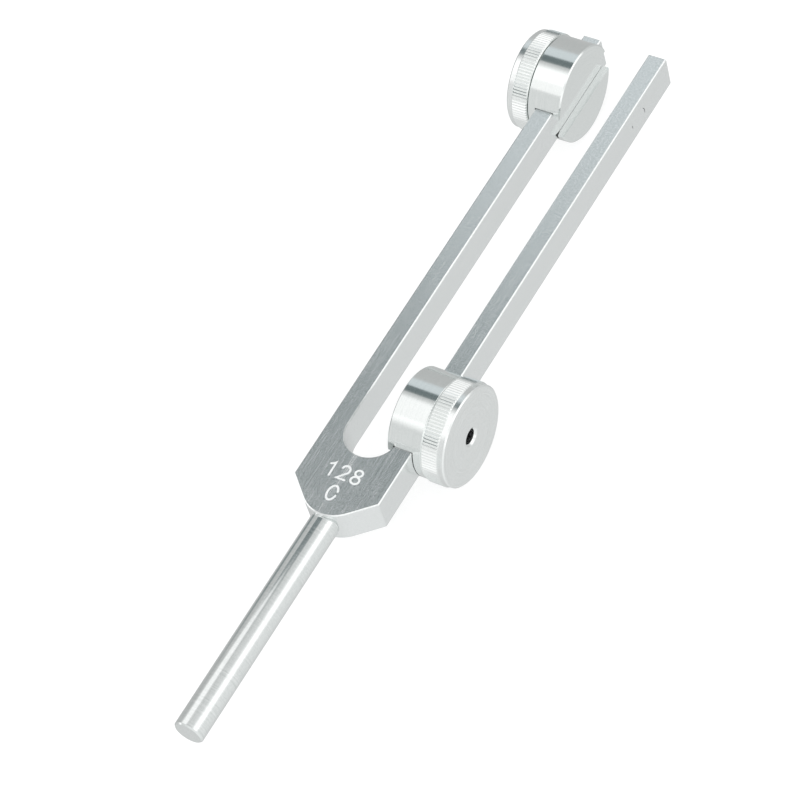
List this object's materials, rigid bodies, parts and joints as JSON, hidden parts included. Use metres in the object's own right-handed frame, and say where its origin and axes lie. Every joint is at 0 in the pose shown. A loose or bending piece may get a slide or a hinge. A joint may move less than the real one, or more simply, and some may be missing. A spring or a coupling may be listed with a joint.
{
  "type": "tuning fork",
  "caption": "Aluminium tuning fork on a round stem, with a knurled clamp weight that slides along each tine to set the pitch.",
  "frame": {"origin": "centre of the stem's free end face", "axes": "+X across the tines towards the right tine, +Y along the fork from the stem's end to the tips, +Z out of the marked front face, so the fork lies flat"},
  "size_m": [0.043, 0.227, 0.028],
  "materials": {
    "brushed_bar": "brushed",
    "polished_rod": "polished",
    "turned_weight": "satin",
    "knurled_knob": "satin",
    "screw_steel": "dark"
  },
  "bodies": {
    "fork": {"fork_body": "brushed_bar", "stem": "polished_rod"},
    "left_weight": {"left_weight_body": "turned_weight"},
    "left_screw": {"left_clamp_screw": "screw_steel"},
    "left_knob": {"left_thumb_knob": "knurled_knob"},
    "right_weight": {"right_weight_body": "turned_weight"},
    "right_screw": {"right_clamp_screw": "screw_steel"},
    "right_knob": {"right_thumb_knob": "knurled_knob"}
  },
  "joints": [
    {"name": "left_weight_slide", "type": "slide", "parent": "fork", "child": "left_weight", "axis": [0, 1, 0], "range_m": [-0.11, 0.007]},
    {"name": "left_screw_travel", "type": "slide", "parent": "left_weight", "child": "left_screw", "axis": [-1, 0, 0], "range_m": [0, 0.00121]},
    {"name": "left_knob_turn", "type": "hinge", "parent": "left_screw", "child": "left_knob", "pos_m": [0, 0.212, 0], "axis": [-1, 0, 0], "range_deg": [0, 540]},
    {"name": "right_weight_slide", "type": "slide", "parent": "fork", "child": "right_weight", "axis": [0, 1, 0], "range_m": [0, 0.117]},
    {"name": "right_screw_travel", "type": "slide", "parent": "right_weight", "child": "right_screw", "axis": [1, 0, 0], "range_m": [0, 0.00121]},
    {"name": "right_knob_turn", "type": "hinge", "parent": "right_screw", "child": "right_knob", "pos_m": [0, 0.102, 0], "axis": [1, 0, 0], "range_deg": [0, 540]}
  ],
  "couplings": [
    {"joint": "left_screw_travel", "follows": "left_knob_turn", "m_per_rad": 0.00012732},
    {"joint": "right_screw_travel", "follows": "right_knob_turn", "m_per_rad": 0.00012732}
  ]
}
